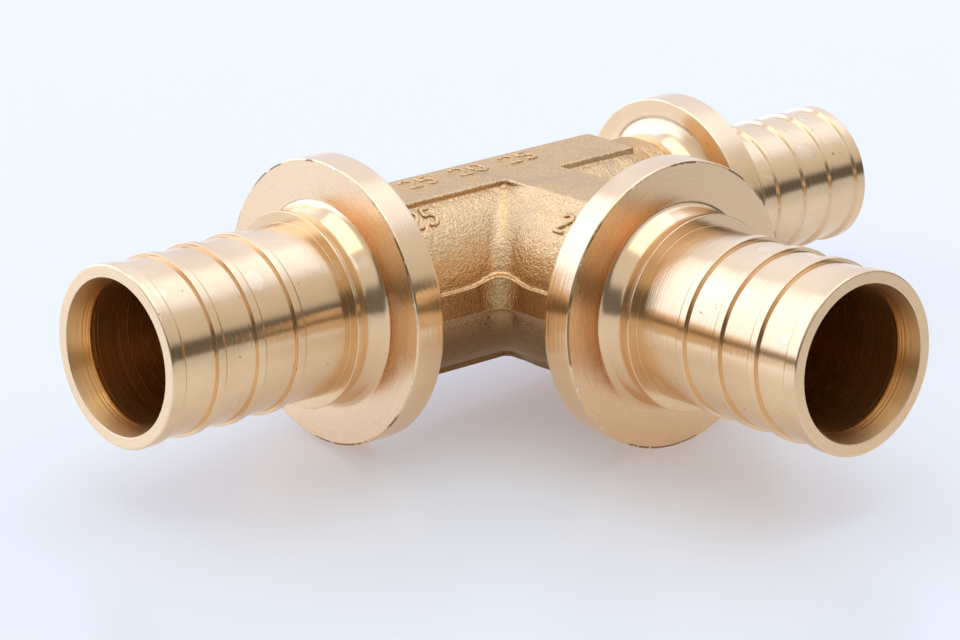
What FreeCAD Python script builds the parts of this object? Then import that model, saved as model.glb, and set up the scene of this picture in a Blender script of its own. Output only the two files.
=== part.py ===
import FreeCAD, Part
import math
import os
import Sketcher

# Reducing tee for plastic heating and water pipe: one brass forging, turned and bored at its
# three ends. The run lies along X with its large end at -X and its small end at +X, the branch
# leaves along -Y, and the three axes cross at the origin. Millimetres.

document = FreeCAD.newDocument("pipe_tee")

# Driving sizes. The two large arms share the "large" values, the small arm has its own, and
# places along an arm are chained outwards from the side of the barrel that it leaves.
sizes = {
    "large_forging_reach": 10.3,
    "large_collar_width": 4.05,
    "large_collar_dia": 34.8,
    "large_throat_length": 3.95,
    "large_throat_dia": 21.4,
    "large_neck_length": 4.4,
    "large_neck_dia": 22.2,
    "large_nozzle_length": 26.3,
    "large_nozzle_dia": 21.8,
    "large_bore_dia": 17.0,
    "large_mouth_dia": 18.8,
    "large_mouth_depth": 2.8,
    "large_end_land": 1.8,
    "large_rib_pitch": 5.83,
    "large_rib_width": 1.05,
    "large_rib_height": 0.38,
    "small_forging_reach": 10.8,
    "small_collar_width": 4.1,
    "small_collar_dia": 29.0,
    "small_throat_length": 3.8,
    "small_throat_dia": 19.8,
    "small_neck_length": 4.6,
    "small_neck_dia": 17.8,
    "small_nozzle_length": 18.6,
    "small_nozzle_dia": 17.4,
    "small_bore_dia": 13.6,
    "small_mouth_dia": 15.1,
    "small_mouth_depth": 2.4,
    "small_end_land": 1.45,
    "small_rib_pitch": 4.57,
    "small_rib_width": 0.9,
    "small_rib_height": 0.34,
    "rib_count": 3,
    "stop_rise": 0.8,
    "stop_width": 0.75,
    "neck_rise": 1.1,
    "neck_sweep": 2.1,
    "throat_sweep": 3.0,
    "edge_break": 0.25,
    "bore_overrun": 5.0,
    "drill_half_angle": 59.0,
    "barrel_dia": 22.6,
    "barrel_taper_length": 4.0,
    "ring_step": 0.85,
    "ring_length": 2.7,
    "crotch_radius": 3.0,
    "flash_margin": 0.6,
    "flash_height": 3.2,
    "flash_crotch_radius": 4.8,
    "web_half_width": 3.8,
    "web_rise": 0.9,
    "pad_width": 8.7,
    "pad_rise": 0.77,
    "pad_crotch_radius": 1.5,
    "pad_end_gap": 1.6,
}

# How far a cutting profile stands clear of the metal that it cuts, and how close two places
# must lie to count as one.
CLEAR = 1.0
NEAR = 1e-3

# Turns of a sketch about its upright axis, in degrees: to look the other way, and to face the
# crotches left and right of the branch.
HALF_TURN = 180
TO_LEFT_CROTCH = -45
TO_RIGHT_CROTCH = 45

sheet = document.addObject("Spreadsheet::Sheet", "Sizes")
for row, (name, number) in enumerate(sizes.items(), start=1):
    sheet.set(f"A{row}", name)
    sheet.set(f"B{row}", str(number))
    sheet.setAlias(f"B{row}", name)
document.recompute()


class Size:
    """A length as a number for drawing and as the expression that ties it to the sheet."""

    def __init__(self, number, text=None):
        self.number = float(number)
        self.text = text if text is not None else str(self.number)

    def __add__(self, other):
        other = as_size(other)
        return Size(self.number + other.number, f"({self.text} + {other.text})")

    def __sub__(self, other):
        other = as_size(other)
        return Size(self.number - other.number, f"({self.text} - {other.text})")

    def __mul__(self, other):
        other = as_size(other)
        return Size(self.number * other.number, f"({self.text} * {other.text})")

    def __truediv__(self, other):
        other = as_size(other)
        return Size(self.number / other.number, f"({self.text} / {other.text})")

    def __neg__(self):
        return Size(-self.number, f"(0 - {self.text})")


def as_size(value):
    return value if isinstance(value, Size) else Size(value)


def size(name):
    return Size(sizes[name], f"Sizes.{name}")


def height_at(radius, offset):
    """Height of a circle of that radius at that offset from its middle."""
    number = math.sqrt(radius.number ** 2 - offset.number ** 2)
    return Size(number, f"sqrt(pow({radius.text}; 2) - pow({offset.text}; 2))")


ZERO = Size(0.0)

tee = document.addObject("PartDesign::Body", "Body")
tee.Label = "tee_body"


def origin_plane(role):
    return next(item for item in tee.Origin.OriginFeatures if item.Role == role)


def sketch_on(name, role, turned=0):
    """Sketch on an origin plane, turned about its own upright axis."""
    sketch = tee.newObject("Sketcher::SketchObject", name)
    sketch.AttachmentSupport = [(origin_plane(role), "")]
    sketch.MapMode = "FlatFace"
    upright = FreeCAD.Vector(0, 1, 0)
    rotation = FreeCAD.Rotation(upright, turned)
    sketch.AttachmentOffset = FreeCAD.Placement(FreeCAD.Vector(0, 0, 0), rotation)
    return sketch


def hold(sketch, element, point, direction, distance):
    """Keep a point of the sketch at a signed distance from the sketch's own origin."""
    if distance is ZERO:
        axis = -2 if direction == "DistanceX" else -1
        sketch.addConstraint(Sketcher.Constraint("PointOnObject", element, point, axis))
        return
    ends = (-1, 1, element, point)
    if distance.number < 0:
        ends = (element, point, -1, 1)
        distance = -distance
    index = sketch.addConstraint(Sketcher.Constraint(direction, *ends, distance.number))
    sketch.setExpression(f"Constraints[{index}]", distance.text)


def draw_outline(sketch, corners):
    """Closed outline through corners (x, y). From a corner (x, y, radius, centre) an arc runs
    to the next corner, about the centre's (x, y)."""
    places = [FreeCAD.Vector(corner[0].number, corner[1].number, 0) for corner in corners]
    following = places[1:] + places[:1]
    ends = []
    for corner, start, end in zip(corners, places, following):
        if len(corner) == 2:
            element = sketch.addGeometry(Part.LineSegment(start, end), False)
        else:
            radius, centre = corner[2], corner[3]
            middle = FreeCAD.Vector(centre[0].number, centre[1].number, 0)
            outward = ((start + end) * 0.5 - middle).normalize()
            arc = Part.Arc(start, middle + outward * radius.number, end)
            element = sketch.addGeometry(arc, False)
        begins_here = sketch.getPoint(element, 1).distanceToPoint(start) < NEAR
        ends.append((1, 2) if begins_here else (2, 1))
    for element, corner in enumerate(corners):
        after = (element + 1) % len(corners)
        joined = (element, ends[element][1], after, ends[after][0])
        sketch.addConstraint(Sketcher.Constraint("Coincident", *joined))
        hold(sketch, element, ends[element][0], "DistanceX", corner[0])
        hold(sketch, element, ends[element][0], "DistanceY", corner[1])
        if len(corner) > 2:
            radius = corner[2]
            bound = sketch.addConstraint(Sketcher.Constraint("Radius", element, radius.number))
            sketch.setExpression(f"Constraints[{bound}]", radius.text)


def finish(feature, volume_before):
    """Make the feature the body's newest, and stop if it cut where it should add or the
    other way round."""
    tee.Tip = feature
    document.recompute()
    change = tee.Shape.Volume - volume_before
    cuts = feature.TypeId in ("PartDesign::Pocket", "PartDesign::Groove")
    if change == 0 or (change < 0) != cuts:
        raise RuntimeError(f"{feature.Name} changes the volume by {change:.2f}")


def volume_so_far():
    return 0.0 if tee.Shape.isNull() else tee.Shape.Volume


def turn(kind, name, sketch):
    """Full turn of a sketch about its own first axis, added (Revolution) or cut (Groove)."""
    before = volume_so_far()
    feature = tee.newObject(f"PartDesign::{kind}", name)
    feature.Profile = sketch
    feature.ReferenceAxis = (sketch, ["H_Axis"])
    feature.Angle = 360
    finish(feature, before)
    return feature


def extrude(kind, name, sketch, length, midplane=False, reverse=False):
    """Straight Pad or Pocket of a sketch by a length."""
    before = volume_so_far()
    feature = tee.newObject(f"PartDesign::{kind}", name)
    feature.Profile = sketch
    feature.Type = "Length"
    feature.Midplane = midplane
    feature.Reversed = reverse
    feature.setExpression("Length", length.text)
    finish(feature, before)
    return feature


def mirror_below(name, feature):
    """The same feature again on the underside."""
    mirrored = tee.newObject("PartDesign::Mirrored", name)
    mirrored.Originals = [feature]
    mirrored.MirrorPlane = (origin_plane("XY_Plane"), [""])
    tee.Tip = mirrored
    document.recompute()


half_barrel = size("barrel_dia") / 2
half_ring = half_barrel - size("ring_step")


# Places along an arm, as distances from the crossing. The forging reaches past the barrel that
# crosses it, which leaves room for the crotch.
def forging_end(arm):
    return half_barrel + size(f"{arm}_forging_reach")


def collar_back(arm):
    return forging_end(arm) + size(f"{arm}_throat_length")


def collar_face(arm):
    return collar_back(arm) + size(f"{arm}_collar_width")


def stop_edge(arm):
    return collar_face(arm) + size(f"{arm}_neck_length")


def reach(arm):
    return stop_edge(arm) + size(f"{arm}_nozzle_length")


# One arm, turned: the forged barrel, a throat that sweeps up to the collar, the collar, the
# neck, the stop ring that the pipe's end meets, and the nozzle without its ribs yet. The throat
# and the neck each sweep up to the collar in one taper.
def add_arm(arm, name, role, turned, half_forging):
    half_throat = size(f"{arm}_throat_dia") / 2
    half_collar = size(f"{arm}_collar_dia") / 2
    half_neck = size(f"{arm}_neck_dia") / 2
    half_stop = half_neck + size("stop_rise")
    half_nozzle = size(f"{arm}_nozzle_dia") / 2
    rib_height = size(f"{arm}_rib_height")
    half_root = half_nozzle - rib_height
    throat_sweep = size("throat_sweep")
    neck_rise = size("neck_rise")
    neck_sweep = size("neck_sweep")
    edge = size("edge_break")
    back = collar_back(arm)
    face = collar_face(arm)
    stop = stop_edge(arm)
    stop_back = stop - size("stop_width")
    end = reach(arm)
    last_rib = end - size(f"{arm}_end_land") - size(f"{arm}_rib_pitch") * size("rib_count")

    sketch = sketch_on(f"{name}_profile", role, turned)
    draw_outline(sketch, [
        (ZERO, ZERO),
        (ZERO, half_forging),
        (forging_end(arm), half_forging),
        (forging_end(arm), half_throat),
        (back - throat_sweep, half_throat),
        (back, half_throat + throat_sweep),
        (back, half_collar),
        (face - edge, half_collar),
        (face, half_collar - edge),
        (face, half_neck + neck_rise),
        (face + neck_sweep, half_neck),
        (stop_back, half_neck),
        (stop_back, half_stop),
        (stop, half_stop),
        (stop, half_root),
        (last_rib - rib_height, half_root),
        (last_rib, half_nozzle),
        (end - edge, half_nozzle),
        (end, half_nozzle - edge),
        (end, ZERO),
    ])
    turn("Revolution", name, sketch)


add_arm("large", "inlet", "XZ_Plane", HALF_TURN, half_barrel)
add_arm("small", "outlet", "XZ_Plane", 0, half_ring)
add_arm("large", "branch", "YZ_Plane", HALF_TURN, half_barrel)

# The run's barrel goes on past the crossing and tapers down to the small arm's forged ring.
ring_start = forging_end("small") - size("ring_length")
taper_start = ring_start - size("barrel_taper_length")
run_profile = sketch_on("run_profile", "XZ_Plane")
draw_outline(run_profile, [
    (ZERO, ZERO),
    (ZERO, half_barrel),
    (taper_start, half_barrel),
    (ring_start, half_ring),
    (ring_start, ZERO),
])
turn("Revolution", "run_barrel", run_profile)

# Flats forged on the crowns of the barrels, top and bottom, where the marking pads stand.
half_pad = size("pad_width") / 2
pad_start = forging_end("large") - size("pad_end_gap")
pad_end = taper_start + size("pad_end_gap")
flat_level = height_at(half_barrel, half_pad)
flat_outline = sketch_on("flat_outline", "XY_Plane")
flat_outline.setExpression("AttachmentOffset.Base.z", flat_level.text)
draw_outline(flat_outline, [
    (-forging_end("large"), half_barrel),
    (pad_end, half_barrel),
    (pad_end, -half_barrel),
    (half_barrel, -half_barrel),
    (half_barrel, -forging_end("large")),
    (-half_barrel, -forging_end("large")),
    (-half_barrel, -half_barrel),
    (-forging_end("large"), -half_barrel),
])
crown_flat = extrude("Pocket", "crown_flat", flat_outline, half_barrel, reverse=True)
mirror_below("crown_flat_below", crown_flat)


# Rounded crotches where the branch barrel meets the run barrel.
def mitre_edges(shape):
    """Upper halves of the two mitre curves, which carry the lower halves with them."""
    names = []
    for number, edge in enumerate(shape.Edges, start=1):
        middle = edge.valueAt((edge.FirstParameter + edge.LastParameter) / 2)
        on_mitre = abs(abs(middle.x) - abs(middle.y)) < NEAR
        outside_pad = abs(middle.x) > half_pad.number
        if on_mitre and outside_pad and middle.z > 0:
            names.append(f"Edge{number}")
    return names


barrels = tee.Tip
volume_before = volume_so_far()
crotch = tee.newObject("PartDesign::Fillet", "crotch")
crotch.Base = (barrels, mitre_edges(barrels.Shape))
crotch.setExpression("Radius", size("crotch_radius").text)
finish(crotch, volume_before)

# Trimmed flash: a band at mid height that stands proud of the barrels, and swells upwards in
# each crotch, where the trimming die cut through a thicker web.
half_flash = half_barrel + size("flash_margin")
half_ring_flash = half_ring + size("flash_margin")
flash_top = size("flash_height") / 2
flash_bend = size("flash_crotch_radius")
bend_at = half_flash + flash_bend
large_end = forging_end("large")
small_end = forging_end("small")
left_cut = [
    (-large_end, -half_flash),
    (-bend_at, -half_flash, flash_bend, (-bend_at, -bend_at)),
    (-half_flash, -bend_at),
    (-half_flash, -large_end),
]
right_cut = [
    (half_flash, -large_end),
    (half_flash, -bend_at, flash_bend, (bend_at, -bend_at)),
    (bend_at, -half_flash),
    (ring_start, -half_ring_flash),
    (small_end, -half_ring_flash),
]
flash_outline = sketch_on("flash_outline", "XY_Plane")
draw_outline(flash_outline, left_cut + right_cut + [
    (small_end, half_ring_flash),
    (ring_start, half_ring_flash),
    (taper_start, half_flash),
    (-large_end, half_flash),
])
extrude("Pad", "flash_band", flash_outline, size("flash_height"), midplane=True)


def add_web(name, turned, cut_corners, outer_corner):
    """Bell-shaped swelling of the flash in one crotch, trimmed flush with the band."""
    half_width = size("web_half_width")
    rise = size("web_rise")
    radius = (half_width * half_width + rise * rise) / (rise * 4)
    web_outline = sketch_on(f"{name}_profile", "XZ_Plane", turned)
    draw_outline(web_outline, [
        (-half_width, ZERO),
        (-half_width, flash_top, radius, (-half_width, flash_top + radius)),
        (-half_width / 2, flash_top + rise / 2, radius, (ZERO, flash_top + rise - radius)),
        (half_width / 2, flash_top + rise / 2, radius, (half_width, flash_top + radius)),
        (half_width, flash_top),
        (half_width, ZERO),
    ])
    diagonal = large_end * Size(math.sqrt(2), "sqrt(2)")
    extrude("Pad", name, web_outline, diagonal - half_width)
    trim_outline = sketch_on(f"{name}_trim_outline", "XY_Plane")
    draw_outline(trim_outline, cut_corners + [outer_corner])
    trim_height = (flash_top + rise + CLEAR) * 2
    extrude("Pocket", f"{name}_trim", trim_outline, trim_height, midplane=True)


add_web("left_web", TO_LEFT_CROTCH, left_cut, (-large_end, -large_end))
add_web("right_web", TO_RIGHT_CROTCH, right_cut, (small_end, -large_end))

# Raised pads for the size marks, on the flats of the run and the branch, top and bottom.
pad_bend = size("pad_crotch_radius")
pad_bend_at = half_pad + pad_bend
pad_outline = sketch_on("pad_outline", "XY_Plane")
pad_outline.setExpression("AttachmentOffset.Base.z", flat_level.text)
draw_outline(pad_outline, [
    (-pad_start, half_pad),
    (pad_end, half_pad),
    (pad_end, -half_pad),
    (pad_bend_at, -half_pad, pad_bend, (pad_bend_at, -pad_bend_at)),
    (half_pad, -pad_bend_at),
    (half_pad, -pad_start),
    (-half_pad, -pad_start),
    (-half_pad, -pad_bend_at, pad_bend, (-pad_bend_at, -pad_bend_at)),
    (-pad_bend_at, -half_pad),
    (-pad_start, -half_pad),
])
marking_pad = extrude("Pad", "marking_pad", pad_outline, size("pad_rise"))
mirror_below("marking_pad_below", marking_pad)


# Ribs: a shallow channel turned between lands, then repeated along the nozzle.
def cut_ribs(arm, name, role, turned):
    end = reach(arm)
    height = size(f"{arm}_rib_height")
    half_nozzle = size(f"{arm}_nozzle_dia") / 2
    outer_top = end - size(f"{arm}_end_land")
    inner_top = outer_top - size(f"{arm}_rib_pitch") + size(f"{arm}_rib_width")
    sketch = sketch_on(f"{name}_channel", role, turned)
    draw_outline(sketch, [
        (inner_top - CLEAR, half_nozzle + CLEAR),
        (outer_top + CLEAR, half_nozzle + CLEAR),
        (outer_top - height, half_nozzle - height),
        (inner_top + height, half_nozzle - height),
    ])
    channel = turn("Groove", f"{name}_rib_channel", sketch)
    ribs = tee.newObject("PartDesign::LinearPattern", f"{name}_ribs")
    ribs.Originals = [channel]
    ribs.Direction = (sketch, ["H_Axis"])
    ribs.Reversed = True
    ribs.Mode = "Spacing"
    ribs.setExpression("Offset", size(f"{arm}_rib_pitch").text)
    ribs.setExpression("Occurrences", size("rib_count").text)
    tee.Tip = ribs
    document.recompute()


cut_ribs("large", "inlet", "XZ_Plane", HALF_TURN)
cut_ribs("small", "outlet", "XZ_Plane", 0)
cut_ribs("large", "branch", "YZ_Plane", HALF_TURN)

# Bores, drilled from each end to the crossing after a slow taper at the mouth. The inlet's
# drill goes a little past the crossing, and each ends in the cone of the drill's point.
half_angle = size("drill_half_angle")
point_slope = Size(
    1 / math.tan(math.radians(half_angle.number)),
    f"(1 / tan({half_angle.text} * 1 deg))",
)


def bore(arm, name, role, turned, past_crossing):
    end = reach(arm)
    half_bore = size(f"{arm}_bore_dia") / 2
    half_mouth = size(f"{arm}_mouth_dia") / 2
    mouth_slope = (half_mouth - half_bore) / size(f"{arm}_mouth_depth")
    sketch = sketch_on(f"{name}_bore_profile", role, turned)
    draw_outline(sketch, [
        (-past_crossing - half_bore * point_slope, ZERO),
        (-past_crossing, half_bore),
        (end - size(f"{arm}_mouth_depth"), half_bore),
        (end + CLEAR, half_mouth + mouth_slope * CLEAR),
        (end + CLEAR, ZERO),
    ])
    turn("Groove", f"{name}_bore", sketch)


bore("large", "inlet", "XZ_Plane", HALF_TURN, size("bore_overrun"))
bore("small", "outlet", "XZ_Plane", 0, ZERO)
bore("large", "branch", "YZ_Plane", HALF_TURN, ZERO)

# Nothing is written unless every feature worked and the tee is one sound solid.
for item in document.Objects:
    if "Invalid" in item.State or "Error" in item.State:
        raise RuntimeError(f"{item.Name} failed: {item.getStatusString()}")
    if item.isDerivedFrom("PartDesign::Feature"):
        if item.Shape.isNull() or not item.Shape.isValid():
            raise RuntimeError(f"{item.Name} has no sound shape")
if tee.Shape.isNull() or not tee.Shape.isValid() or len(tee.Shape.Solids) != 1:
    raise RuntimeError("the tee is not one sound solid")

os.makedirs("parts", exist_ok=True)
tee.Shape.exportStep("parts/tee_body.step")
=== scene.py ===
import math

import bmesh
import bpy
import numpy as np
from mathutils import Matrix, Vector


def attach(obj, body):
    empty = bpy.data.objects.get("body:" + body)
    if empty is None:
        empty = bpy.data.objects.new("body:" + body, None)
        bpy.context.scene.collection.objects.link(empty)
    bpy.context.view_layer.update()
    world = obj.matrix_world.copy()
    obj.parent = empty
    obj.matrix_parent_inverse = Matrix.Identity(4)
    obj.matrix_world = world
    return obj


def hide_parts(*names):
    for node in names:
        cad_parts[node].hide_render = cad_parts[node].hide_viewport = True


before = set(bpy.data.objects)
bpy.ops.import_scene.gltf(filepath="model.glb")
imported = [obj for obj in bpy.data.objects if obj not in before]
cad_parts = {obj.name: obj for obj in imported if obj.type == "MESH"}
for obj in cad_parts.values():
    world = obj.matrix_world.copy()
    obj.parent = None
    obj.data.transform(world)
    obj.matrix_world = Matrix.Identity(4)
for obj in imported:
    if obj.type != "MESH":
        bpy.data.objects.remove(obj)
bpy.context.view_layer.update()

scene = bpy.context.scene
scene.view_settings.view_transform = "Standard"
MM = 0.001


# Camera: the photograph's viewpoint, 0.58 m away through a long lens. It stands over the corner
# between the large run arm and the branch, and looks down on the tee at about 17 degrees.
camera_data = bpy.data.cameras.new("camera")
camera_data.sensor_width = 36.0
camera_data.lens = 177.91
camera_data.clip_start = 0.05
camera_data.clip_end = 10.0
camera = bpy.data.objects.new("camera", camera_data)
scene.collection.objects.link(camera)
scene.camera = camera
viewpoint = Vector((-367.462, -416.970, 166.557)) * MM
yaw, pitch, roll = (math.radians(angle) for angle in (48.996, 17.484, -0.736))
forward = Vector((math.cos(yaw) * math.cos(pitch), math.sin(yaw) * math.cos(pitch), -math.sin(pitch)))
level = Vector((math.sin(yaw), -math.cos(yaw), 0.0))
upright = level.cross(forward)
right = math.cos(roll) * level + math.sin(roll) * upright
top = math.cos(roll) * upright - math.sin(roll) * level
axes = Matrix((right, top, -forward)).transposed().to_4x4()
camera.matrix_world = Matrix.Translation(viewpoint) @ axes


# Table: a pale, slightly glossy plastic sheet. The tee lies on the rims of its three collars,
# and as the small arm's collar is smaller, the sheet is a plane that slants in the tee's frame.
def resting_plane(rims):
    """Height and two slopes of the plane under three discs, each given by the axis it stands
    square to (0 for x, 1 for y), its place on that axis and its radius. Each disc touches at
    the lowest point of its rim, which shifts a little as the plane tilts, so the plane is
    worked out over and over until it holds still."""
    height, slope_x, slope_y = -0.017, 0.0, 0.0
    for _ in range(8):
        rows, heights = [], []
        for axis, place, radius in rims:
            across = slope_y if axis == 0 else slope_x
            reach = radius / math.sqrt(1 + across * across)
            aside = reach * across
            x, y = (place, aside) if axis == 0 else (aside, place)
            rows.append((1.0, x, y))
            heights.append(-reach)
        height, slope_x, slope_y = np.linalg.solve(rows, heights)
    return float(height), float(slope_x), float(slope_y)


table_height, slope_x, slope_y = resting_plane([
    (0, -0.0256, 0.0174),
    (1, -0.0256, 0.0174),
    (0, 0.0300, 0.0145),
])
half_table = 1.6
corners = [(x * half_table, y * half_table) for x, y in ((-1, -1), (1, -1), (1, 1), (-1, 1))]
sheet_points = [(x, y, table_height + slope_x * x + slope_y * y) for x, y in corners]
table_mesh = bpy.data.meshes.new("table")
table_mesh.from_pydata(sheet_points, [], [(0, 1, 2, 3)])
table = bpy.data.objects.new("table", table_mesh)
scene.collection.objects.link(table)


def calc(tree, operation, first, second=0.0, third=0.0, clamped=False):
    """Math node with numbers or sockets as its inputs."""
    node = tree.nodes.new("ShaderNodeMath")
    node.operation = operation
    node.use_clamp = clamped
    for socket, value in zip(node.inputs, (first, second, third)):
        if isinstance(value, (int, float)):
            socket.default_value = value
        else:
            tree.links.new(value, socket)
    return node.outputs[0]


def step_up(tree, value, low, high):
    """Rises smoothly from 0 at low to 1 at high. Where high is the smaller one, it falls."""
    node = tree.nodes.new("ShaderNodeMapRange")
    node.interpolation_type = "SMOOTHSTEP"
    node.inputs["From Min"].default_value = low
    node.inputs["From Max"].default_value = high
    tree.links.new(value, node.inputs["Value"])
    return node.outputs["Result"]


def along(tree, place, direction):
    """How far a place lies along a direction."""
    node = tree.nodes.new("ShaderNodeVectorMath")
    node.operation = "DOT_PRODUCT"
    node.inputs[1].default_value = direction
    tree.links.new(place, node.inputs[0])
    return node.outputs["Value"]


sheet = bpy.data.materials.new("pale_sheet")
sheet.use_nodes = True
tree = sheet.node_tree
surface = tree.nodes["Principled BSDF"]
surface.inputs["Base Color"].default_value = (0.38, 0.465, 0.49, 1.0)
surface.inputs["Roughness"].default_value = 0.30
surface.inputs["Specular IOR Level"].default_value = 0.30

# The sheet has a painted glow, warm like light thrown back from the brass. It lightens the sheet
# and its shadows for the eye, and what the brass mirrors of it. That mirrored painted glow is a
# fifth stronger near the tee, and falls as painted shade from 5 to 11 cm to the camera's right until
# it is a fifth weaker.
place = tree.nodes.new("ShaderNodeTexCoord").outputs["Object"]
# Painted shade: the glow that the brass mirrors dims to the camera's right.
painted_dimming_right = step_up(tree, along(tree, place, (0.66, -0.75, 0.0)), 0.05, 0.11)
painted_reflection_strength = calc(tree, "MULTIPLY_ADD", painted_dimming_right, -0.40, 1.18)
seen = tree.nodes.new("ShaderNodeLightPath")
painted_glow = tree.nodes.new("ShaderNodeEmission")
# Painted light: the glow's warm colour stands in for light thrown back on to the sheet by the brass.
painted_glow.inputs["Color"].default_value = (0.36, 0.30, 0.29, 1.0)
by_mirror, by_eye = seen.outputs["Is Glossy Ray"], seen.outputs["Is Camera Ray"]
in_view = calc(tree, "MULTIPLY_ADD", by_mirror, painted_reflection_strength, by_eye)
tree.links.new(in_view, painted_glow.inputs["Strength"])
both = tree.nodes.new("ShaderNodeAddShader")
tree.links.new(surface.outputs[0], both.inputs[0])
tree.links.new(painted_glow.outputs[0], both.inputs[1])
tree.links.new(both.outputs[0], tree.nodes["Material Output"].inputs["Surface"])
table_mesh.materials.append(sheet)


# Light: a light tent. A pale shell, brightest behind the tee and overhead, with a broad white
# panel at the back on the left, and a dim gap low down on both sides and in front, between the
# table and the panels. The eye sees plain pale air instead.
def between(tree, share, first, second):
    """Colour between two colours or sockets, by a share from 0 to 1."""
    node = tree.nodes.new("ShaderNodeMix")
    node.data_type = "RGBA"
    tree.links.new(share, node.inputs["Factor"])
    for socket, value in ((node.inputs["A"], first), (node.inputs["B"], second)):
        if isinstance(value, tuple):
            socket.default_value = (*value, 1.0)
        else:
            tree.links.new(value, socket)
    return node.outputs["Result"]


world = bpy.data.worlds.new("tent")
scene.world = world
world.use_nodes = True
tree = world.node_tree
tree.nodes.clear()
heading = tree.nodes.new("ShaderNodeTexCoord").outputs["Generated"]
upward = along(tree, heading, (0.0, 0.0, 1.0))
backward = along(tree, heading, (0.656, 0.755, 0.0))
rightward = along(tree, heading, (0.755, -0.656, 0.0))
sideways = calc(tree, "ABSOLUTE", rightward)
frontal = step_up(tree, backward, -0.30, -0.70)

# The shell brightens upwards and to the back, and once more in a roof on the right.
shell = calc(tree, "MULTIPLY_ADD", step_up(tree, upward, 0.10, 0.70), 0.20, 0.60)
shell = calc(tree, "MULTIPLY_ADD", step_up(tree, backward, 0.0, 0.7), 0.40, shell)
roof = calc(tree, "MULTIPLY", step_up(tree, upward, 0.68, 0.76), step_up(tree, rightward, 0.15, 0.35))
shell = calc(tree, "MULTIPLY_ADD", roof, 0.50, shell)

# The white panel starts a little above the table and ends where the roof begins.
panel = calc(tree, "MULTIPLY", step_up(tree, upward, 0.06, 0.13), step_up(tree, upward, 0.76, 0.70))
panel = calc(tree, "MULTIPLY", panel, step_up(tree, rightward, -0.39, -0.50))
panel = calc(tree, "MULTIPLY", panel, step_up(tree, backward, -0.25, -0.05))
shell = calc(tree, "MULTIPLY_ADD", panel, 1.1, shell)

# The dim gap is low on the left, higher on the right and highest in front.
gap_height = calc(tree, "MULTIPLY_ADD", step_up(tree, rightward, -0.2, 0.2), 0.22, 0.09)
gap_height = calc(tree, "MAXIMUM", gap_height, calc(tree, "MULTIPLY", frontal, 0.48))
up_the_gap = calc(tree, "DIVIDE", calc(tree, "ABSOLUTE", upward), gap_height)
gap = step_up(tree, calc(tree, "SUBTRACT", 1.0, up_the_gap, clamped=True), 0.0, 0.35)
round_the_tent = step_up(tree, sideways, 0.55, 0.85)
round_the_tent = calc(tree, "MAXIMUM", round_the_tent, calc(tree, "MULTIPLY", frontal, 0.9))
gap = calc(tree, "MULTIPLY", gap, round_the_tent)
shell = calc(tree, "MULTIPLY", shell, calc(tree, "MULTIPLY_ADD", gap, -0.80, 1.0))

warm_cloth, cool_white = (1.0, 0.97, 0.95), (0.88, 0.99, 1.30)
tent_tint = between(tree, step_up(tree, shell, 0.6, 1.3), warm_cloth, cool_white)
tent = tree.nodes.new("ShaderNodeBackground")
tree.links.new(tent_tint, tent.inputs["Color"])
tree.links.new(shell, tent.inputs["Strength"])
air = tree.nodes.new("ShaderNodeBackground")
air.inputs["Color"].default_value = (0.86, 0.94, 0.99, 1.0)
choice = tree.nodes.new("ShaderNodeMixShader")
tree.links.new(tree.nodes.new("ShaderNodeLightPath").outputs["Is Camera Ray"], choice.inputs[0])
tree.links.new(tent.outputs[0], choice.inputs[1])
tree.links.new(air.outputs[0], choice.inputs[2])
tree.links.new(choice.outputs[0], tree.nodes.new("ShaderNodeOutputWorld").inputs["Surface"])

lamp_data = bpy.data.lights.new("overhead_panel", "AREA")
lamp_data.shape = "RECTANGLE"
lamp_data.size = 0.8
lamp_data.size_y = 0.8
lamp_data.energy = 2.2
lamp = bpy.data.objects.new("overhead_panel", lamp_data)
scene.collection.objects.link(lamp)
lamp.location = (0.0, 0.04, 0.8)
lamp.rotation_mode = "QUATERNION"
lamp.rotation_quaternion = (-lamp.location).to_track_quat("-Z", "Y")


# Large run arm: turned brass. A ribbed nozzle that the pipe shrinks on to, a neck where the
# pipe's end stops, and the collar that the sliding sleeve is pulled up to, all one piece with
# the forging. Sizes are in millimetres: half widths out from the arm's axis, and places along
# it from the crossing.
large_arm = {
    "end": 60.3, "land": 1.8, "pitch": 5.83, "rib_width": 1.05, "rib": 0.38, "nozzle": 10.9,
    "bore": 8.5, "mouth": 9.4, "mouth_depth": 2.8, "stop": 34.0,
    "stop_out": 11.9, "neck": 11.1, "face": 29.6, "collar": 17.4, "collar_width": 4.05,
    "throat": 10.7, "throat_cove": 3.0, "forging": 21.6,
}
RIBS = 3
STOP_WIDTH, STOP_LEAN = 0.75, 0.05
NECK_SWEEP, NECK_RISE = 2.1, 1.1
COLLAR_EDGE = 0.26
SPIGOT_LENGTH, SPIGOT_WALL, THROAT_LAP = 1.3, 1.1, 0.2


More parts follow.
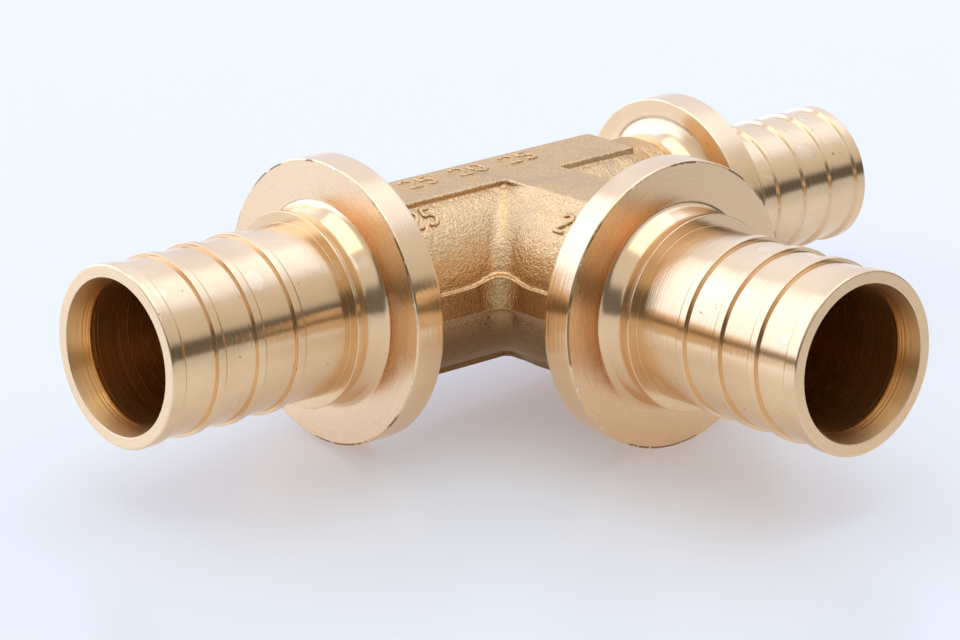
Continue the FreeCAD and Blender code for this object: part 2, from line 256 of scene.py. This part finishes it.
def arm_outline(arm):
    """Half section of one arm, from its spigot in the forging out along the bore, round the
    mouth, and back over the ribs, the neck and the collar. Each corner is its place along the
    axis, its place out from it and its radius."""
    end = arm["end"]
    nozzle, root = arm["nozzle"], arm["nozzle"] - arm["rib"]
    face, back = arm["face"], arm["face"] - arm["collar_width"]
    spigot_end, throat_end = arm["forging"] - SPIGOT_LENGTH, arm["forging"] - THROAT_LAP
    spigot_out = arm["bore"] + SPIGOT_WALL
    corners = [
        (spigot_end, arm["bore"], 0.0),
        (end - arm["mouth_depth"], arm["bore"], 0.25),
        (end, arm["mouth"], 0.10),
        (end, nozzle, 0.24),
    ]
    top_end = end - arm["land"]
    for _ in range(RIBS):
        next_top = top_end - arm["pitch"] + arm["rib_width"]
        corners += [
            (top_end, nozzle, 0.10),
            (top_end - arm["rib"], root, 0.12),
            (next_top, root, 0.03),
            (next_top, nozzle, 0.07),
        ]
        top_end -= arm["pitch"]
    corners += [
        (top_end, nozzle, 0.10),
        (top_end - arm["rib"], root, 0.12),
        (arm["stop"], root, 0.05),
        (arm["stop"], arm["stop_out"], 0.10),
        (arm["stop"] - STOP_WIDTH, arm["stop_out"], 0.10),
        (arm["stop"] - STOP_WIDTH - STOP_LEAN, arm["neck"], 0.20),
        (face + NECK_SWEEP, arm["neck"], 1.5),
        (face, arm["neck"] + NECK_RISE, 0.9),
        (face, arm["collar"], COLLAR_EDGE),
        (back, arm["collar"], COLLAR_EDGE),
        (back, arm["throat"], arm["throat_cove"]),
        (throat_end, arm["throat"], 0.0),
        (throat_end, spigot_out, 0.0),
        (spigot_end, spigot_out, 0.0),
    ]
    return rounded(corners)


def rounded(corners):
    """Closed outline through corners (along, out, radius) whose corners are turned into arcs. An
    arc touches both sides at radius times the cotangent of half the corner's angle from the
    corner, and runs round the centre in equal steps. A sharp corner is one point. Long straight
    stretches get a point close to either end, which keeps their shading flat."""
    arc_step = math.radians(7)
    long_stretch, near_the_end = 0.4, 0.08
    places = np.array([corner[:2] for corner in corners], float)
    radii = np.array([corner[2] for corner in corners], float)
    before = np.roll(places, 1, axis=0) - places
    after = np.roll(places, -1, axis=0) - places
    arcs = []
    for place, back, ahead, radius in zip(places, before, after, radii):
        if radius == 0:
            arcs.append(place[None, :])
            continue
        to_back = back / np.linalg.norm(back)
        to_ahead = ahead / np.linalg.norm(ahead)
        half = 0.5 * math.acos(np.clip(to_back @ to_ahead, -1, 1))
        middle = to_back + to_ahead
        centre = place + middle / np.linalg.norm(middle) * radius / math.sin(half)
        start = place + to_back * (radius / math.tan(half)) - centre
        turn = math.pi - 2 * half
        chord = to_ahead - to_back
        side = np.sign(start[0] * chord[1] - start[1] * chord[0])
        steps = max(2, int(round(turn / arc_step)))
        angles = side * np.linspace(0, turn, steps + 1)[:, None]
        quarter_on = np.array([-start[1], start[0]])
        arcs.append(centre + start * np.cos(angles) + quarter_on * np.sin(angles))
    outline = []
    for arc, following in zip(arcs, arcs[1:] + arcs[:1]):
        outline.extend(arc)
        gap = following[0] - arc[-1]
        length = np.linalg.norm(gap)
        if length > long_stretch:
            outline.append(arc[-1] + gap * (near_the_end / length))
            outline.append(following[0] - gap * (near_the_end / length))
    return np.array(outline)


def finish_zones(outline, arm):
    """Which points of the outline lie in each zone: inside the mouth and the bore, in the bore
    alone, on the two flat faces, and on the edge between the collar's face and its rim."""
    along_axis, out = outline[:, 0], outline[:, 1]
    inside = (out < arm["nozzle"] - 0.9) & (along_axis < arm["end"] - 0.05)
    bore = inside & (out < arm["bore"] + 0.1)
    end_face = (along_axis > arm["end"] - 0.06) & ~inside
    on_collar_face = np.abs(along_axis - arm["face"]) < 0.05
    collar_face = on_collar_face & (out > arm["neck"] + 1.6)
    near_collar_face = np.abs(along_axis - arm["face"]) < 0.09
    brim = (np.abs(out - arm["collar"] + COLLAR_EDGE / 2) < 0.14) & near_collar_face
    return {"inside": inside, "bore": bore, "flats": end_face | collar_face, "brim": brim}


def unrolled(values, whole):
    """Values at the four corners of each face, on a scale that closes on itself. Where a face
    lies across the seam, its low corners get one whole round more."""
    across_seam = values.max(1) - values.min(1) > whole / 2
    return np.where(across_seam[:, None] & (values < whole / 2), values + whole, values)


def brass_piece(name, mesh, material):
    """Object of a finished mesh, in its place on the tee, which it rides on and stands for."""
    mesh.materials.append(material)
    piece = bpy.data.objects.new(name, mesh)
    scene.collection.objects.link(piece)
    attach(piece, "root")
    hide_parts("tee_body")


def facing_out(points, quads):
    """The same faces, turned over if they face inwards. The sum of the triple products of each
    face's first three corners has the sign of the volume that they enclose."""
    a, b, c = points[quads[:, 0]], points[quads[:, 1]], points[quads[:, 2]]
    if np.einsum("ij,ij->i", np.cross(a, b), c).sum() < 0:
        return quads[:, ::-1]
    return quads


def turned(name, arm, axis, material, turns=240):
    """Closed ring of revolution. Each point (along, out) of the outline goes round the arm's
    axis: along the axis by the first, and out from it by the second, at equal angles. The map
    keeps the way along the outline in millimetres and the angle in turns."""
    outline = arm_outline(arm)
    count = len(outline)
    angles = np.arange(turns) * (2 * math.pi / turns)
    axis = np.array(axis, float)
    up = np.array([0.0, 0.0, 1.0])
    ring = np.cos(angles)[:, None] * np.cross(up, axis) + np.sin(angles)[:, None] * up
    points = outline[None, :, :1] * axis + outline[None, :, 1:] * ring[:, None, :]
    points = points.reshape(-1, 3) * MM
    step, place = np.arange(turns)[:, None], np.arange(count)[None, :]
    next_step, next_place = (step + 1) % turns, (place + 1) % count
    quads = np.stack([
        step * count + place,
        next_step * count + place,
        next_step * count + next_place,
        step * count + next_place,
    ], axis=-1).reshape(-1, 4)
    quads = facing_out(points, quads)
    mesh = bpy.data.meshes.new(name)
    mesh.from_pydata(points.tolist(), [], quads.tolist())
    mesh.polygons.foreach_set("use_smooth", np.ones(len(quads), bool))

    way = np.concatenate([[0.0], np.cumsum(np.linalg.norm(np.diff(outline, axis=0), axis=1))])
    whole_way = way[-1] + np.linalg.norm(outline[0] - outline[-1])
    vertex = np.empty(len(mesh.loops), np.int32)
    mesh.loops.foreach_get("vertex_index", vertex)
    vertex = vertex.reshape(-1, 4)
    u = unrolled(way[vertex % count], whole_way)
    v = unrolled((vertex // count) / turns, 1.0)
    chart = mesh.uv_layers.new(name="turning")
    chart.data.foreach_set("uv", np.stack([u, v], axis=-1).ravel().astype(np.float32))
    for label, zone in finish_zones(outline, arm).items():
        layer = mesh.attributes.new(label, "FLOAT", "POINT")
        layer.data.foreach_set("value", np.tile(zone.astype(np.float32), turns))
    brass_piece(name, mesh, material)


def noise(tree, place, scale, detail=2.0, kind="3D", roughness=0.5):
    """Noise from 0 to 1 at a place, with the scale in waves per millimetre."""
    node = tree.nodes.new("ShaderNodeTexNoise")
    node.noise_dimensions = kind
    node.inputs["Scale"].default_value = scale
    node.inputs["Detail"].default_value = detail
    node.inputs["Roughness"].default_value = roughness
    tree.links.new(place, node.inputs["W" if kind == "1D" else "Vector"])
    return node.outputs["Fac"]


def in_millimetres(tree):
    """Object coordinates in millimetres."""
    node = tree.nodes.new("ShaderNodeVectorMath")
    node.operation = "SCALE"
    node.inputs["Scale"].default_value = 1000.0
    tree.links.new(tree.nodes.new("ShaderNodeTexCoord").outputs["Object"], node.inputs[0])
    return node.outputs[0]


def split(tree, vector):
    """The three numbers of a vector."""
    node = tree.nodes.new("ShaderNodeSeparateXYZ")
    tree.links.new(vector, node.inputs[0])
    return node.outputs["X"], node.outputs["Y"], node.outputs["Z"]


def blend(tree, tint, mask, strength, colour):
    """The tint, taken toward a colour by a mask times a strength."""
    return between(tree, calc(tree, "MULTIPLY", mask, strength), tint, colour)


def bumped(tree, height, distance):
    """Gives the surface a bump from a height, in metres for each unit of it."""
    node = tree.nodes.new("ShaderNodeBump")
    node.inputs["Strength"].default_value = 1.0
    node.inputs["Distance"].default_value = distance
    tree.links.new(height, node.inputs["Height"])
    tree.links.new(node.outputs[0], tree.nodes["Principled BSDF"].inputs["Normal"])


turned_brass = bpy.data.materials.new("turned_brass")
turned_brass.use_nodes = True
tree = turned_brass.node_tree
surface = tree.nodes["Principled BSDF"]
surface.inputs["Metallic"].default_value = 1.0
surface.inputs["Anisotropic"].default_value = 0.5
place = in_millimetres(tree)
chart = tree.nodes.new("ShaderNodeUVMap")
chart.uv_map = "turning"
way, turn, _ = split(tree, chart.outputs["UV"])
zones = {}
for label in ("inside", "bore", "flats", "brim"):
    node = tree.nodes.new("ShaderNodeAttribute")
    node.attribute_name = label
    zones[label] = node.outputs["Fac"]
outside = calc(tree, "SUBTRACT", 1.0, zones["inside"])
reamed = calc(tree, "SUBTRACT", zones["inside"], zones["bore"])

# Dried drops of coolant: round cells with a wobbly edge, each of its own size, and most of them
# there. A drop is paler than the brass, with a browner outline.
drops = tree.nodes.new("ShaderNodeTexVoronoi")
drops.inputs["Scale"].default_value = 0.18
tree.links.new(place, drops.inputs["Vector"])
draw = tree.nodes.new("ShaderNodeSeparateColor")
tree.links.new(drops.outputs["Color"], draw.inputs[0])
drop_size = calc(tree, "MULTIPLY_ADD", draw.outputs["Red"], 0.26, 0.08)
wobble = calc(tree, "MULTIPLY_ADD", noise(tree, place, 0.6, 3.0), 0.34, -0.17)
depth = calc(tree, "SUBTRACT", drop_size, calc(tree, "ADD", drops.outputs["Distance"], wobble))
there = calc(tree, "MULTIPLY", step_up(tree, draw.outputs["Green"], 0.38, 0.44), outside)
stain = calc(tree, "MULTIPLY", step_up(tree, depth, 0.0, 0.05), there)
stain_edge = calc(tree, "MULTIPLY", stain, step_up(tree, depth, 0.07, 0.03))

# Colour: brass that has dulled in clouds, with dark specks. The flat faces are cut last and paler,
# the branch's are painted browner as painted shade, and the collars' edges are darker in patches and
# nicked bright.
tarnish = step_up(tree, noise(tree, place, 0.11, 4.0), 0.35, 0.68)
specks = step_up(tree, noise(tree, place, 1.5, 1.0), 0.785, 0.80)
on_branch = step_up(tree, split(tree, place)[1], -24.0, -29.0)
# The collars' edges get darker patches along the brim.
dark_brim_patches = calc(tree, "MULTIPLY", zones["brim"], step_up(tree, noise(tree, place, 0.19, 4.0), 0.50, 0.56))
nicks = calc(tree, "MULTIPLY", zones["brim"], step_up(tree, noise(tree, place, 0.9, 2.0), 0.62, 0.65))
tint = between(tree, tarnish, (0.86, 0.63, 0.385), (0.79, 0.56, 0.33))
tint = blend(tree, tint, stain, 0.42, (0.88, 0.72, 0.50))
tint = blend(tree, tint, stain_edge, 0.38, (0.66, 0.43, 0.25))
tint = blend(tree, tint, specks, 0.8, (0.30, 0.17, 0.08))
tint = blend(tree, tint, zones["flats"], 0.8, (0.92, 0.70, 0.46))
# Painted shade: the branch's flats are painted browner, for the darker surroundings that they mirror.
branch_flats_painted_shade = calc(tree, "MULTIPLY", zones["flats"], on_branch)
tint = blend(tree, tint, branch_flats_painted_shade, 0.85, (0.84, 0.575, 0.335))
tint = between(tree, zones["inside"], tint, (0.72, 0.50, 0.26))
tint = between(tree, zones["bore"], tint, (0.94, 0.58, 0.22))
tint = blend(tree, tint, dark_brim_patches, 0.85, (0.22, 0.13, 0.07))
tint = between(tree, nicks, tint, (0.95, 0.84, 0.66))
tree.links.new(tint, surface.inputs["Base Color"])

# Roughness: the lathe's feed leaves finer and coarser rings, and the reamed mouths are dullest.
feed = noise(tree, way, 3.1, 3.0, "1D", 0.7)
roughness = calc(tree, "MULTIPLY_ADD", feed, 0.12, 0.11)
for mask, added in ((zones["flats"], 0.10), (stain, 0.06), (reamed, 0.22), (zones["bore"], 0.09)):
    roughness = calc(tree, "MULTIPLY_ADD", mask, added, roughness)
tree.links.new(roughness, surface.inputs["Roughness"])
tangent = tree.nodes.new("ShaderNodeTangent")
tangent.direction_type = "UV_MAP"
tangent.uv_map = "turning"
tree.links.new(tangent.outputs[0], surface.inputs["Tangent"])

# Height: turned grooves outside, chatter rings in the bore, scrapes along the mouths, a slight
# waviness all over, and the nicks.
grooves = calc(tree, "MULTIPLY_ADD", noise(tree, way, 1.3, 2.0, "1D"), 0.5, feed)
grooves = calc(tree, "MULTIPLY", grooves, calc(tree, "MULTIPLY_ADD", zones["inside"], -0.95, 1.0))
in_bore = calc(tree, "MULTIPLY", zones["bore"], 4.0)
chatter = calc(tree, "MULTIPLY", noise(tree, way, 2.2, 3.0, "1D", 0.8), in_bore)
grooves = calc(tree, "ADD", grooves, chatter)
grooves = calc(tree, "MULTIPLY_ADD", noise(tree, place, 0.16, 1.0), 2.2, grooves)
in_mouth = calc(tree, "MULTIPLY", reamed, 0.7)
grooves = calc(tree, "MULTIPLY_ADD", noise(tree, turn, 260.0, 2.0, "1D"), in_mouth, grooves)
grooves = calc(tree, "MULTIPLY_ADD", nicks, -5.0, grooves)
bumped(tree, grooves, 0.000012)

turned("inlet_arm", large_arm, (-1, 0, 0), turned_brass)


# Branch arm: turned brass like the large run arm and of the same sizes, since the same pipe goes
# on it. It stands square to the run, out of the forging's side.
turned("branch_arm", large_arm, (0, -1, 0), turned_brass)


# Small run arm: turned brass like the other two, in line with the large run arm, for the
# smaller pipe. Its collar is smaller as well, so on the table the tee leans toward this end.
small_arm = {
    "end": 53.2, "land": 1.45, "pitch": 4.57, "rib_width": 0.9, "rib": 0.34, "nozzle": 8.7,
    "bore": 6.8, "mouth": 7.55, "mouth_depth": 2.4, "stop": 34.6,
    "stop_out": 9.7, "neck": 8.9, "face": 30.0, "collar": 14.5, "collar_width": 4.1,
    "throat": 9.9, "throat_cove": 3.0, "forging": 22.1,
}
turned("outlet_arm", small_arm, (1, 0, 0), turned_brass)


# Forged body: hot-stamped brass, shot-blasted. Two crossing barrels with flats and pads on their
# crowns, a trimmed flash band at mid height, and the drilled water ways inside. Sizes are in
# millimetres from the crossing, and every edge and corner has its own small radius.
HALF_BARREL, HALF_RING, BARREL_EDGE = 11.3, 10.45, 0.25
TAPER_START, RING_START = 15.4, 19.4
CROTCH_RADIUS = 2.3
HALF_PAD, PAD_TOP, PAD_FOOT = 4.35, 11.2, 6.0
LARGE_PAD_END, SMALL_PAD_END = 20.0, 17.0
FLAT_LEVEL = math.sqrt(HALF_BARREL ** 2 - HALF_PAD ** 2)
PAD_EDGE, PAD_CORNER = 0.3, 0.6
HALF_FLASH_HEIGHT, FLASH_STEP, FLASH_CROTCH = 1.6, 0.35, 3.4
HALF_WEB, WEB_RISE = 3.8, 0.9
DRILL_TIP, DRILL_REACH, SMALL_DRILL_REACH = math.tan(math.radians(59)), 5.0, 2.0


def round_join(a, b, radius):
    """Distance to two shapes joined with a hollow fillet: where both are nearer than the
    radius, the radius less the length of the two shortfalls taken as legs at right angles."""
    legs = np.hypot(np.maximum(radius - a, 0), np.maximum(radius - b, 0))
    return np.maximum(radius, np.minimum(a, b)) - legs


def round_meet(a, b, radius):
    """Distance to what two shapes share, with its edges rounded the same way."""
    return -round_join(-a, -b, radius)


def rolled(a, b, level, radius):
    """Distance to two shapes with a ball rolled along their crotch. level is the cosine of the
    angle between the ways out of the two, and is held under 1, where they'd be one way. Where
    the ball's centre lies between those ways, the distance is the radius less the way from the
    centre, worked out from both shortfalls by the law of cosines."""
    nearly_one_way = 0.97
    short_a, short_b = radius - a, radius - b
    level = np.minimum(level, nearly_one_way)
    away = np.sqrt((short_a ** 2 + short_b ** 2 - 2 * level * short_a * short_b) / (1 - level ** 2))
    between_ways = (short_a > level * short_b) & (short_b > level * short_a)
    return np.where(between_ways, radius - away, np.minimum(a, b))


def barrels(x, y, z, half_run):
    """Two round bars, the run along x and the branch along -y, with the ball rolled along their
    crotch and the crowns cut flat. The ways out from the two axes share only z, so the cosine
    between them is z squared over the product of their lengths."""
    run_way, branch_way = np.hypot(y, z), np.hypot(x, z)
    branch = round_meet(branch_way - HALF_BARREL, y, BARREL_EDGE)
    level = z ** 2 / np.maximum(run_way * branch_way, 1e-6)
    both = rolled(run_way - half_run, branch, level, CROTCH_RADIUS)
    return round_meet(both, np.abs(z) - FLAT_LEVEL, PAD_EDGE)


def pads(x, y, z):
    """Flat bars along both crowns, above and below, up to the pads' ends."""
    on_run = round_meet(np.abs(y) - HALF_PAD, x - SMALL_PAD_END, PAD_CORNER)
    on_branch = round_meet(np.abs(x) - HALF_PAD, y, PAD_CORNER)
    bars = round_meet(round_join(on_run, on_branch, PAD_CORNER), np.abs(z) - PAD_TOP, PAD_EDGE)
    bars = round_meet(bars, PAD_FOOT - np.abs(z), PAD_EDGE)
    large_ends = round_meet(-LARGE_PAD_END - x, -LARGE_PAD_END - y, PAD_EDGE)
    return round_meet(bars, large_ends, PAD_EDGE)


def flash(x, y, z, half_run):
    """Upright band a little wider than the barrels, filleted in plan between them. Its top
    rises in each crotch, where the die's web was trimmed off, by a bell of two parabolas over
    the way from the crotch's diagonal."""
    elsewhere = 99
    on_branch = round_meet(np.abs(x) - (HALF_BARREL + FLASH_STEP), y, 0.3)
    plan = round_join(np.abs(y) - (half_run + FLASH_STEP), on_branch, FLASH_CROTCH)
    off_left = np.abs(x - y) / math.sqrt(2) + np.where((x < 0) & (y < 0), 0, elsewhere)
    off_right = np.abs(x + y) / math.sqrt(2) + np.where((x > 0) & (y < 0), 0, elsewhere)
    off = np.minimum(np.minimum(off_left, off_right) / HALF_WEB, 1)
    bell = np.where(off < 0.5, 1 - 2 * off ** 2, 2 * (1 - off) ** 2)
    top = HALF_FLASH_HEIGHT + WEB_RISE * bell
    return round_meet(plan, np.maximum(z - top, -HALF_FLASH_HEIGHT - z), 0.2)


def water_ways(x, y, z):
    """Two large drills with pointed ends just past the crossing, the small one that runs into
    them, and the sockets that the three arms' spigots fill."""
    large, small = large_arm["bore"], small_arm["bore"]
    large_socket, small_socket = large + SPIGOT_WALL, small + SPIGOT_WALL
    large_floor = large_arm["forging"] - SPIGOT_LENGTH
    small_floor = small_arm["forging"] - SPIGOT_LENGTH
    run_way, branch_way = np.hypot(y, z), np.hypot(x, z)
    ways = [
        np.maximum(run_way - large, run_way - large + (x - DRILL_REACH) * DRILL_TIP),
        np.maximum(branch_way - large, branch_way - large + (y - DRILL_REACH) * DRILL_TIP),
        np.maximum(run_way - small, -SMALL_DRILL_REACH - x),
        np.maximum(run_way - large_socket, large_floor + x),
        np.maximum(branch_way - large_socket, large_floor + y),
        np.maximum(run_way - small_socket, small_floor - x),
    ]
    return np.minimum.reduce(ways)


def forging(x, y, z):
    """Signed distance, near enough, from points in millimetres to the forging's skin: barrels
    with the pads and the flash joined on, cut off at three ends, less the water ways. The pads'
    fillet is softer down the branch, and the flash's is softer under the band than over it."""
    taper = np.clip((x - TAPER_START) / (RING_START - TAPER_START), 0, 1)
    half_run = HALF_BARREL - (HALF_BARREL - HALF_RING) * taper
    pad_fillet = 0.35 + 1.45 * np.clip((-y - 5.5) / 4.0, 0, 1)
    flash_fillet = 0.3 + 1.0 * np.clip(-z / 1.5, 0, 1)
    body = round_join(barrels(x, y, z, half_run), pads(x, y, z), pad_fillet)
    body = round_join(body, flash(x, y, z, half_run), flash_fillet)
    run_ends = np.maximum(-large_arm["forging"] - x, x - small_arm["forging"])
    body = round_meet(body, np.maximum(run_ends, -large_arm["forging"] - y), 0.35)
    return round_meet(body, -water_ways(x, y, z), 0.12)


def skin(distance, low, high, pitch):
    """Closed skin where a distance function changes sign. Space is cut into cubes. Each cube
    that the skin crosses gets one point, the mean of the crossings on its edges, and each cube
    edge that is crossed gets one face between its four cubes. The points are then pulled on to
    the skin along the slope of the distance, by half a cube at most each time."""
    sides = [np.arange(a, b + pitch, pitch) for a, b in zip(low, high)]
    value = distance(*np.meshgrid(*sides, indexing="ij"))
    inside = value < 0
    shape = tuple(length - 1 for length in value.shape)
    total, count = np.zeros((*shape, 3)), np.zeros(shape)
    crossings = []
    for axis in range(3):
        near, far = [slice(None)] * 3, [slice(None)] * 3
        near[axis], far[axis] = slice(0, -1), slice(1, None)
        a, b = value[tuple(near)], value[tuple(far)]
        starts_inside = inside[tuple(near)]
        crossed = starts_inside != inside[tuple(far)]
        index = np.argwhere(crossed)
        point = index.astype(float)
        point[:, axis] += (a / np.where(a == b, 1, a - b))[crossed]
        others = [n for n in range(3) if n != axis]
        cubes = []
        for step in ((0, 0), (-1, 0), (-1, -1), (0, -1)):
            cube = index.copy()
            cube[:, others] += step
            np.add.at(total, tuple(cube.T), point)
            np.add.at(count, tuple(cube.T), 1)
            cubes.append(tuple(cube.T))
        crossings.append((cubes, starts_inside[crossed] != (axis == 1)))
    used = count > 0
    number = np.full(shape, -1, np.int64)
    number[used] = np.arange(used.sum())
    points = total[used] / count[used][:, None] * pitch + np.array(low)
    faces = []
    for cubes, turned_over in crossings:
        ring = np.stack([number[cube] for cube in cubes], axis=1)
        ring[turned_over] = ring[turned_over][:, ::-1]
        faces.append(ring)
    nudge, flattest = 0.01, 0.25
    for _ in range(4):
        slope = np.stack([
            distance(*(points + shift).T) - distance(*(points - shift).T)
            for shift in np.eye(3) * nudge
        ], axis=1) / (2 * nudge)
        steep = np.maximum((slope ** 2).sum(1), flattest)
        move = -distance(*points.T)[:, None] * slope / steep[:, None]
        length = np.linalg.norm(move, axis=1, keepdims=True)
        points = points + move * np.minimum(1, pitch * 0.5 / np.maximum(length, 1e-9))
    normals = slope / np.linalg.norm(slope, axis=1, keepdims=True)
    return points, np.concatenate(faces), normals


low_corner, high_corner, cube = (-22.4, -22.4, -12.4), (22.9, 12.8, 12.4), 0.3
points, faces, normals = skin(forging, low_corner, high_corner, cube)
body_mesh = bpy.data.meshes.new("forged_body")
body_mesh.from_pydata((points * MM).tolist(), [], facing_out(points, faces).tolist())
body_mesh.polygons.foreach_set("use_smooth", np.ones(len(faces), bool))
body_mesh.normals_split_custom_set_from_vertices(normals.tolist())

# The skin is a fine grain of dents, and a little uneven all over. Painted shade makes the brass
# browner and darker from the flash down, and darkest at the bottom, over the dim table.
blasted_brass = bpy.data.materials.new("blasted_brass")
blasted_brass.use_nodes = True
tree = blasted_brass.node_tree
surface = tree.nodes["Principled BSDF"]
surface.inputs["Metallic"].default_value = 1.0
surface.inputs["Roughness"].default_value = 0.36
surface.inputs["Specular Tint"].default_value = (0.93, 0.86, 0.74, 1.0)
place = in_millimetres(tree)
height = split(tree, place)[2]
grain = noise(tree, place, 3.6, 1.5)
dull = step_up(tree, noise(tree, place, 0.16, 3.0), 0.45, 0.7)
tint = between(tree, step_up(tree, grain, 0.30, 0.72), (0.59, 0.385, 0.19), (0.76, 0.52, 0.28))
tint = blend(tree, tint, dull, 0.5, (0.50, 0.36, 0.22))
# Painted shade: browner from just above the flash down, and near black at the bottom.
tint = blend(tree, tint, step_up(tree, height, 4.0, 0.5), 0.5, (0.50, 0.32, 0.155))
tint = blend(tree, tint, step_up(tree, height, 0.5, -6.0), 0.9, (0.20, 0.11, 0.042))
tree.links.new(tint, surface.inputs["Base Color"])
bumped(tree, calc(tree, "MULTIPLY_ADD", noise(tree, place, 0.55, 2.0), 1.6, grain), 0.00011)
brass_piece("forged_body", body_mesh, blasted_brass)


# Raised numbers: pipe sizes pressed up out of the forging with it, as soft low strokes on the
# run's pad and on the round of the barrels beside the two large collars. Each number is drawn
# in one line of points, in parts of its height, and its neighbour stands SPACING heights on.
STROKES = {
    "0": [(0.0, 0.3), (0.0, 0.7), (0.12, 0.92), (0.3, 1.0), (0.48, 0.92), (0.6, 0.7),
          (0.6, 0.3), (0.48, 0.08), (0.3, 0.0), (0.12, 0.08), (0.0, 0.3)],
    "2": [(0.0, 0.78), (0.1, 0.94), (0.3, 1.0), (0.5, 0.93), (0.6, 0.75), (0.52, 0.55),
          (0.25, 0.27), (0.0, 0.0), (0.62, 0.0)],
    "5": [(0.58, 1.0), (0.08, 1.0), (0.04, 0.56), (0.3, 0.63), (0.52, 0.53), (0.6, 0.33),
          (0.5, 0.1), (0.28, 0.0), (0.0, 0.09)],
}
SPACING = 0.92
BEAD_WIDTH, BEAD_STEP, SQUARENESS = 0.7, 0.12, 2.5
SUNK, SMALLEST = 0.35, 0.02


def bead(line, rise):
    """Low bead along a line of points, as rows of points across it. Across the line it is half a
    superellipse whose foot is sunk into the forging, and it shrinks to a point over its own
    half width at each end, as a circle does. Corners are eased by one pass of the mean of each
    point and its two neighbours."""
    sides = np.linspace(-1, 1, 9)
    bulge = (1 - np.abs(sides) ** SQUARENESS) ** (1 / SQUARENESS)
    reach = np.concatenate([[0], np.cumsum(np.linalg.norm(np.diff(line, axis=0), axis=1))])
    steps = np.linspace(0, reach[-1], int(reach[-1] / BEAD_STEP) + 2)
    path = np.stack([np.interp(steps, reach, line[:, n]) for n in (0, 1)], axis=1)
    path[1:-1] = (path[:-2] + 2 * path[1:-1] + path[2:]) / 4
    way = np.gradient(path, axis=0)
    way /= np.linalg.norm(way, axis=1, keepdims=True)
    aside = np.stack([-way[:, 1], way[:, 0]], axis=1)
    from_end = np.clip(np.minimum(steps, steps[-1] - steps) / (BEAD_WIDTH / 2), 0, 1)
    shrink = np.sqrt(1 - (1 - from_end) ** 2) * (1 - SMALLEST) + SMALLEST
    half_widths = sides[None, :, None] * (BEAD_WIDTH / 2) * shrink[:, None, None]
    flat = path[:, None, :] + aside[:, None, :] * half_widths
    out = (bulge * (1 + SUNK) - SUNK)[None, :] * rise * shrink[:, None]
    return np.concatenate([flat, out[:, :, None]], axis=2)


def closed_bead(rows, columns, first):
    """Faces of a bead whose points start at a number: its top, its underside and both ends."""
    row, column = np.arange(rows - 1)[:, None], np.arange(columns - 1)[None, :]
    corner = first + row * columns + column
    top_side = np.stack([corner, corner + columns, corner + columns + 1, corner + 1], axis=-1)
    left = first + np.arange(rows - 1) * columns
    right = left + columns - 1
    underside = np.stack([left, right, right + columns, left + columns], axis=-1)
    start = [list(range(first, first + columns))]
    last = first + (rows - 1) * columns
    finish = [list(range(last + columns - 1, last - 1, -1))]
    return top_side.reshape(-1, 4).tolist() + underside.tolist() + start + finish


def raised(name, text, height, rise, to_body):
    """Beads for a row of plain numbers. to_body takes (across, up, out) from the flat layout, in
    millimetres, to the tee."""
    vertices, faces = [], []
    count = 0
    for number, sign in enumerate(text):
        if sign == " ":
            continue
        line = np.array(STROKES[sign]) * height
        line[:, 0] += (number - len(text) / 2) * height * SPACING
        points = bead(line, rise)
        rows, columns, _ = points.shape
        faces += closed_bead(rows, columns, count)
        count += rows * columns
        vertices.append(points.reshape(-1, 3))
    across, up, out = np.concatenate(vertices).T
    points = np.stack(to_body(across, up, out), axis=1)
    mesh = bpy.data.meshes.new(name)
    mesh.from_pydata((points * MM).tolist(), [], faces)
    grid = bmesh.new()
    grid.from_mesh(mesh)
    bmesh.ops.recalc_face_normals(grid, faces=grid.faces)
    grid.to_mesh(mesh)
    grid.free()
    mesh.polygons.foreach_set("use_smooth", np.ones(len(mesh.polygons), bool))
    brass_piece(name, mesh, blasted_brass)


def on_run_pad(across, up, out):
    """Flat on top of the run's pad, read from the branch's side."""
    return -4.5 + across, 0.3 + up, PAD_TOP + out


def on_run_barrel(across, up, out):
    """Wrapped round the run next to its large collar, with up measured along the round."""
    lean = math.radians(51) + up / HALF_BARREL
    return -18.7 + across, -(HALF_BARREL + out) * np.cos(lean), (HALF_BARREL + out) * np.sin(lean)


def on_branch_barrel(across, up, out):
    """Wrapped round the branch next to its collar, on the side of the large run arm."""
    lean = math.radians(46) + up / HALF_BARREL
    return -(HALF_BARREL + out) * np.cos(lean), -19.3 - across, (HALF_BARREL + out) * np.sin(lean)


raised("pad_numbers", "25 20 25", 2.9, 0.19, on_run_pad)
raised("run_number", "25", 2.6, 0.26, on_run_barrel)
raised("branch_number", "25", 2.6, 0.26, on_branch_barrel)
